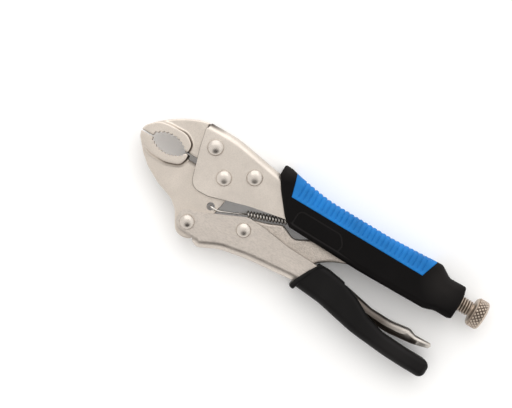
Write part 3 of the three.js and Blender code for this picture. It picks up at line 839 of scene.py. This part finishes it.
SLEEVE_TOP = open_path([(58.5, -11.1), (64, -11, 4), (71.9, -12.2, 0.5), (72.6, -13.2, 0.5), (76.5, -13.8, 6),
                        (81, -15.8, 10), (89.5, -20.4, 12), (100, -23.2, 15), (113, -23.8)])
SLEEVE_CROWN = open_path([(58.5, -11.1), (64, -11, 4), (72.3, -12.3, 3), (81, -15.8, 10), (89.5, -20.4, 12),
                          (100, -23.2, 15), (113, -23.8)])
SLEEVE_BELLY = open_path([(53, -25.6), (66, -26.6, 40), (86, -30.6, 60), (104, -32.1, 60), (113, -32.4)])
SLEEVE_TAIL = open_path([(113, -32.4), (125, -32.7, 4.2), (125.2, -23.7, 4.2), (113, -23.8)])


def lower_grip_sleeve():
    """The dipped sleeve: rounded all along, with a bead round its mouth and a small nib at its end."""
    half = GRIP_HALF - 0.3
    outline = SLEEVE_BELLY + SLEEVE_TAIL[1:-1] + list(reversed(SLEEVE_TOP))
    body = prism("lower_grip_sleeve_moulding", outline, -half, half)
    keep_inside(body, soft_plate("top", beyond(SLEEVE_CROWN, -BIG), half, 2.6, 8))
    keep_inside(body, soft_plate("belly", beyond(SLEEVE_BELLY, BIG), half, 3.2, 9))
    rear = [(-BIG, -BIG), (125.1, -BIG), (125.1, BIG), (-BIG, BIG)]
    keep_inside(body, soft_plate("rear", rear, half, 3.2, 9))
    nib = closed_path([(124, -27.6), (125.6, -27.2, 0.4), (125.6, -26.2, 0.4), (124, -25.8)])
    join(body, soft_plate("nib", nib, 0.6, 0.25, 3))
    bead = closed_path([
        (58.3, -10.9, 0.6), (60.3, -11.4, 0.6), (57.2, -16.8, 8), (54, -24.6, 2), (53.2, -27.3, 0.8),
        (50.7, -27, 1), (51.7, -22.8, 5), (55.1, -16.2, 8)])
    join(body, soft_plate("bead", bead, GRIP_HALF, 0.9, 5))
    hollow = offset(HANDLE_OUTLINE, -2 * SEAT, True)
    cut(body, prism("hollow", hollow, -SHELL_HALF - 2 * SEAT, SHELL_HALF + 2 * SEAT))
    inside = prism("inside", beyond(offset(HANDLE_BELLY, SHEET), BIG), -CHANNEL_HALF, CHANNEL_HALF)
    cut(body, keep_inside(inside, prism("reach", [(40, -60), (122, -60), (122, 0), (40, 0)], -BIG, BIG)))
    return broken_edges(body, MOULDED_EDGE, 2, 40)


# ---- return spring ----
COIL_RADIUS = 1.28
WIRE_RADIUS = 0.46
SPRING_TURNS = 20
POINTS_PER_TURN = 20


def return_spring():
    """One wire: a hook in the movable jaw, a leg, the coil, and a hook round the anchor pin."""
    front = Vector((17.5, -8.7, 0))
    back = Vector((44.5, 1.5, 0))
    along = (back - front).normalized()
    side = Vector((-along.y, along.x, 0))
    path = [Vector(p) for p in ((1.4, -14.2, 2), (1.4, -14.2, 4.3), (2.2, -14.3, 5.1), (5, -14.3, 5),
                                (9, -12.8, 3), (14, -10.6, 0.8))]
    legs = len(path)
    coil_points = SPRING_TURNS * POINTS_PER_TURN
    for i in range(coil_points + 1):
        turn = 2 * math.pi * i / POINTS_PER_TURN - math.pi / 2
        across = side * COIL_RADIUS * math.cos(turn)
        rise = Vector((0, 0, COIL_RADIUS * math.sin(turn)))
        path.append(front.lerp(back, i / coil_points) + across + rise)
    hook = PIN_RADIUS + WIRE_RADIUS + 0.3
    for angle in (-130, -60, 10, 80, 140):
        a = math.radians(angle)
        path.append(Vector((SPRING_ANCHOR[0] + hook * math.cos(a), SPRING_ANCHOR[1] + hook * math.sin(a), 0)))
    fine = []
    for i in range(len(path) - 1):
        ends = path[max(i - 1, 0)], path[i], path[i + 1], path[min(i + 2, len(path) - 1)]
        parts = 6 if i < legs or i > len(path) - 8 else 1
        fine += [curve_point(*ends, k / parts) for k in range(parts)]
    fine.append(path[-1])
    wire = tube("return_spring_wire", fine, WIRE_RADIUS, 10)

    # painted shade: the wire darker on the inner side of the coil, between its turns
    def painted_shade_inside_coil(x, y, z):
        here = Vector((x, y, z)) - front
        past = here.dot(along)
        if not 0 < past < (back - front).length:
            return 0
        return (COIL_RADIUS - 0.08 - (here - along * past).length) / 0.22

    return marked_with_shade_and_dirt(wire, painted_shade_inside_coil)


def curve_point(a, b, c, d, t):
    """A point between b and c on the smooth curve through a, b, c and d."""
    return 0.5 * (2 * b + (c - a) * t + (2 * a - 5 * b + 4 * c - d) * t**2 + (3 * b - a - 3 * c + d) * t**3)


def tube(name, path, radius, segments):
    rings = []
    across = Vector((0, 0, 1)).cross(path[2] - path[0])
    across = across if across.length > 1e-6 else Vector((1, 0, 0))
    for i, p in enumerate(path):
        forward = (path[min(i + 1, len(path) - 1)] - path[max(i - 1, 0)]).normalized()
        across = (across - forward * across.dot(forward)).normalized()
        up = forward.cross(across)
        ring = []
        for k in range(segments):
            a = 2 * math.pi * k / segments
            ring.append(tuple(p + (across * math.cos(a) + up * math.sin(a)) * radius))
        rings.append(ring)
    return loft(name, rings)


# ---- materials ----
# the colour of the dirt in the screw's and knob's hollows, and of the painted shade on the other metal parts
SHADE_AND_DIRT = (0.07, 0.055, 0.045)


class Shader:
    """A Principled material with the few kinds of node that these finishes are made of."""

    def __init__(self, name, colour, roughness, metallic):
        self.material = bpy.data.materials.new(name)
        self.material.use_nodes = True
        self.nodes = self.material.node_tree.nodes
        self.links = self.material.node_tree.links
        self.shader = self.nodes["Principled BSDF"]
        self.shader.inputs["Metallic"].default_value = metallic
        self.shader.inputs["Roughness"].default_value = roughness
        self.shader.inputs["Base Color"].default_value = (*colour, 1)
        self.position = self.nodes.new("ShaderNodeTexCoord").outputs["Object"]

    def noise(self, size_mm, detail=3, stretch=(1, 1, 1)):
        """Noise whose patches are about size_mm across."""
        mapping = self.nodes.new("ShaderNodeMapping")
        mapping.inputs["Scale"].default_value = stretch
        self.links.new(self.position, mapping.inputs["Vector"])
        noise = self.nodes.new("ShaderNodeTexNoise")
        noise.inputs["Scale"].default_value = 1 / (size_mm * MM)
        noise.inputs["Detail"].default_value = detail
        self.links.new(mapping.outputs["Vector"], noise.inputs["Vector"])
        return noise.outputs["Fac"]

    def near(self, x, y, reach_mm, falloff_mm):
        """1 within reach of a point on the tool's side, fading to 0 over the falloff."""
        spot = self.nodes.new("ShaderNodeVectorMath")
        spot.operation = "MULTIPLY"
        spot.inputs[1].default_value = (1, 1, 0)
        self.links.new(self.position, spot.inputs[0])
        distance = self.nodes.new("ShaderNodeVectorMath")
        distance.operation = "DISTANCE"
        distance.inputs[1].default_value = ((x - CENTRE[0]) * MM, (y - CENTRE[1]) * MM, 0)
        self.links.new(spot.outputs["Vector"], distance.inputs[0])
        return self.spread(distance.outputs["Value"], reach_mm * MM, (reach_mm + falloff_mm) * MM, 1, 0)

    def shade_and_dirt_amount(self):
        """The mesh's noted amount of painted shade and dirt at a point, 0 to 1; on the screw and knob it is
        how deep in a groove the surface is.
        """
        node = self.nodes.new("ShaderNodeAttribute")
        node.attribute_name = "painted_shade_and_dirt"
        return node.outputs["Fac"]

    def spread(self, value, low, high, to_low, to_high):
        node = self.nodes.new("ShaderNodeMapRange")
        node.inputs["From Min"].default_value = low
        node.inputs["From Max"].default_value = high
        node.inputs["To Min"].default_value = to_low
        node.inputs["To Max"].default_value = to_high
        self.links.new(value, node.inputs["Value"])
        return node.outputs["Result"]

    def blend(self, factor, a, b):
        node = self.nodes.new("ShaderNodeMix")
        node.data_type = "RGBA"
        self.links.new(factor, node.inputs["Factor"])
        for socket, value in ((node.inputs["A"], a), (node.inputs["B"], b)):
            if isinstance(value, tuple):
                socket.default_value = (*value, 1)
            else:
                self.links.new(value, socket)
        return node.outputs["Result"]

    def colour(self, value):
        self.links.new(value, self.shader.inputs["Base Color"])

    def roughness(self, value):
        self.links.new(value, self.shader.inputs["Roughness"])

    def bump(self, height, distance_mm, strength=1.0):
        node = self.nodes.new("ShaderNodeBump")
        node.inputs["Distance"].default_value = distance_mm * MM
        node.inputs["Strength"].default_value = strength
        self.links.new(height, node.inputs["Height"])
        previous = self.shader.inputs["Normal"]
        if previous.is_linked:
            self.links.new(previous.links[0].from_socket, node.inputs["Normal"])
        self.links.new(node.outputs["Normal"], previous)


def tinted(colour, amount):
    return tuple(min(1, c * amount) for c in colour)


def plated_steel(name, colour, roughness, grain_mm, grain_depth, wave_depth=0.03, stretch=(1, 1, 1),
                 mottle=1):
    """Nickel plate over steel: a fine grain, cloudy patches, an uneven gloss, and the dirt and painted shade
    that the mesh notes.
    """
    shader = Shader(name, colour, roughness, 1)
    clouds = shader.spread(shader.noise(9, 4, stretch), 0.3, 0.7, 0, 1)
    grain = shader.noise(grain_mm, 2, stretch)
    specks = shader.spread(grain, 0.35, 0.65, 0, 1)
    tone = shader.blend(clouds, tinted(colour, 0.91), tinted(colour, 1.04))
    tone = shader.blend(shader.spread(grain, 0.36, 0.58, 0.25 * mottle, 0), tone, tinted(colour, 0.62))
    tone = shader.blend(shader.spread(shader.shade_and_dirt_amount(), 0.2, 0.9, 0, 0.88), tone, SHADE_AND_DIRT)
    shader.colour(tone)
    shader.roughness(shader.spread(shader.noise(3, 3), 0.3, 0.7, roughness - 0.05, roughness + 0.07))
    shader.bump(specks, grain_depth)
    shader.bump(shader.noise(6, 2), wave_depth, 0.5)
    return shader.material


def moulded(name, colour, roughness, shine, spots=(), spot_colour=None):
    """Moulded plastic: a fine grain, pale patches at given spots, and dust where the mesh notes it."""
    shader = Shader(name, colour, roughness, 0)
    shader.shader.inputs["Specular IOR Level"].default_value = shine
    grain = shader.noise(0.32, 2)
    clouds = shader.spread(shader.noise(12, 3), 0.3, 0.7, 0, 1)
    tone = shader.blend(clouds, tinted(colour, 0.85), tinted(colour, 1.15))
    for x, y, reach, falloff in spots:
        pale_patch = shader.near(x, y, reach, falloff)
        tone = shader.blend(pale_patch, tone, spot_colour)
    tone = shader.blend(shader.shade_and_dirt_amount(), tone, tuple(3 * c + 0.006 for c in colour))
    shader.colour(tone)
    shader.roughness(shader.spread(shader.noise(4, 3), 0.3, 0.7, roughness - 0.06, roughness + 0.06))
    shader.bump(grain, 0.03)
    shader.bump(shader.noise(8, 1), 0.15, 0.5)
    return shader.material


def build_tool():
    pressed = plated_steel("pressed_steel", (0.67, 0.61, 0.55), 0.38, 0.4, 0.012)
    # the handle's steel is a little darker than the frame's: painted shade for the light falling off towards
    # the lower handle; its brushed grain is its own
    brushed = plated_steel("brushed_steel", (0.64, 0.58, 0.525), 0.38, 0.3, 0.012, 0.04, (0.25, 1, 1), 1.8)
    forging = plated_steel("forged_steel", (0.67, 0.605, 0.54), 0.38, 0.45, 0.014, 0.06)
    casting = plated_steel("cast_link_steel", (0.57, 0.51, 0.455), 0.42, 0.45, 0.07, 0.08, (1, 1, 1), 2.6)
    rivet_steel = plated_steel("rivet_steel", (0.6, 0.55, 0.5), 0.27, 0.3, 0.003, 0.01)
    turned_steel = plated_steel("turned_steel", (0.56, 0.475, 0.4), 0.34, 0.25, 0.008, 0.03, (6, 1, 1))
    wire = plated_steel("spring_steel", (0.74, 0.71, 0.67), 0.3, 0.3, 0.004)
    bright = plated_steel("bright_steel", (0.6, 0.56, 0.515), 0.33, 0.5, 0.03, 0.08, (1, 1, 1), 2)
    # painted highlights: the black grip's two pale patches lie on the tops of its front and rear humps
    black = moulded("black_grip", (0.0035, 0.003, 0.003), 0.5, 0.07,
                    ((24, 19.5, 1.5, 5), (112, 12, 4, 9)), (0.014, 0.0125, 0.012))
    sleeve = moulded("black_sleeve", (0.0055, 0.005, 0.005), 0.46, 0.12,
                     ((108, -25, 3, 14),), (0.011, 0.01, 0.01))
    blue = moulded("blue_inlay", (0.009, 0.17, 0.5), 0.5, 0.2)

    finished(upper_frame(), "frame", pressed, ["upper_frame"])
    finished(fixed_jaw(), "frame", forging, ["fixed_jaw"], 40)
    finished(movable_jaw(), "jaw", forging, ["movable_jaw"], 40)
    finished(lower_handle(), "handle", brushed, ["lower_handle"])
    finished(toggle_link(), "link", casting, ["toggle_link"])
    finished(release_lever(), "lever", bright, ["release_lever"])
    for node, body, at, radius in (("jaw_rivet_front", "frame", FRONT_RIVET, 3.8),
                                   ("jaw_rivet_rear", "frame", REAR_RIVET, 3.8),
                                   ("jaw_pivot_rivet", "frame", JAW_PIVOT, 3.7),
                                   ("handle_pivot_rivet", "handle", HANDLE_PIVOT, 3.5),
                                   ("link_pivot_rivet", "handle", LINK_PIVOT, 3.5)):
        finished(rivet(node + "_domed", at, radius), body, rivet_steel, [node], 50)
    finished(adjusting_screw(), "screw", turned_steel, ["adjusting_screw"], 60)
    finished(screw_knob(), "knob", turned_steel, ["screw_knob"], 30)
    finished(upper_grip(), "frame", black, ["upper_grip"])
    finished(upper_grip_inlay(), "frame", blue, ["upper_grip_inlay"], 50)
    finished(lower_grip_sleeve(), "handle", sleeve, ["lower_grip_sleeve"])
    spring = smoothed(return_spring(), 60)
    spring.data.materials.append(wire)
    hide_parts("return_spring")
    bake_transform(spring)
    for node, material in (("spring_anchor_pin", rivet_steel), ("lever_pivot_pin", rivet_steel),
                           ("threaded_bush", turned_steel)):
        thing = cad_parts[node]
        for slot in thing.material_slots:
            slot.link = "OBJECT"
            slot.material = material


# ---- floor, lights and camera ----
SKY_STRENGTH = 1.15
DARK_PATCH_TOWARDS = (0.26, -0.43, 0.865)
DARK_PATCH_CORE = math.radians(10)
DARK_PATCH_RIM = math.radians(31)
LIGHTS = (("key", (-0.45, 0.85, 0.75), 1.4, 5), ("fill", (0.6, 0.7, 0.9), 1.2, 1))
CAMERA_HEIGHT = 0.9
CAMERA_AIM = (-0.0273, 0.00415)
CAMERA_RIGHT = (0.857, 0.515, 0)
CAMERA_VIEW_WIDTH = 0.2365
SENSOR_WIDTH = 36


def sky():
    """A soft white studio with a dark patch high up, as an unlit part of the room."""
    world = bpy.data.worlds.new("studio")
    bpy.context.scene.world = world
    world.use_nodes = True
    nodes = world.node_tree.nodes
    links = world.node_tree.links
    direction = nodes.new("ShaderNodeTexCoord").outputs["Generated"]
    towards = nodes.new("ShaderNodeVectorMath")
    towards.operation = "DOT_PRODUCT"
    towards.inputs[1].default_value = Vector(DARK_PATCH_TOWARDS).normalized()
    links.new(direction, towards.inputs[0])
    spread = nodes.new("ShaderNodeMapRange")
    spread.interpolation_type = "SMOOTHSTEP"
    spread.inputs["From Min"].default_value = math.cos(DARK_PATCH_RIM)
    spread.inputs["From Max"].default_value = math.cos(DARK_PATCH_CORE)
    links.new(towards.outputs["Value"], spread.inputs["Value"])
    mix = nodes.new("ShaderNodeMix")
    mix.data_type = "RGBA"
    mix.inputs["A"].default_value = (1, 0.985, 0.965, 1)
    mix.inputs["B"].default_value = (0.05, 0.045, 0.042, 1)
    links.new(spread.outputs["Result"], mix.inputs["Factor"])
    links.new(mix.outputs["Result"], nodes["Background"].inputs["Color"])
    nodes["Background"].inputs["Strength"].default_value = SKY_STRENGTH


def studio():
    bpy.ops.mesh.primitive_plane_add(size=6, location=(0, 0, 0))
    floor = bpy.context.object
    floor.name = "floor"
    paint = Shader("floor_paint", (0.9, 0.9, 0.9), 0.8, 0)
    paint.colour(paint.blend(paint.noise(300, 2), (0.9, 0.9, 0.9), (0.93, 0.93, 0.93)))
    paint.shader.inputs["Emission Color"].default_value = (1, 1, 1, 1)
    paint.shader.inputs["Emission Strength"].default_value = 0.1
    floor.data.materials.append(paint.material)
    sky()
    for name, place, size, power in LIGHTS:
        light = bpy.data.lights.new(name, "AREA")
        light.size = size
        light.energy = power
        thing = bpy.data.objects.new(name, light)
        thing.location = place
        thing.rotation_euler = Vector(place).to_track_quat("Z", "Y").to_euler()
        bpy.context.scene.collection.objects.link(thing)


def camera():
    """Straight down on the tool's side, turned so that the nose is up and to the left."""
    data = bpy.data.cameras.new("camera")
    data.sensor_width = SENSOR_WIDTH
    data.lens = SENSOR_WIDTH * CAMERA_HEIGHT / CAMERA_VIEW_WIDTH
    thing = bpy.data.objects.new("camera", data)
    right = Vector(CAMERA_RIGHT).normalized()
    up = Vector((-right.y, right.x, 0))
    matrix = Matrix((right, up, Vector((0, 0, 1)))).transposed().to_4x4()
    matrix.translation = (*CAMERA_AIM, CAMERA_HEIGHT + GRIP_HALF * MM)
    thing.matrix_world = matrix
    bpy.context.scene.collection.objects.link(thing)
    bpy.context.scene.camera = thing
    bpy.context.scene.view_settings.view_transform = "Standard"


studio()
camera()
build_tool()
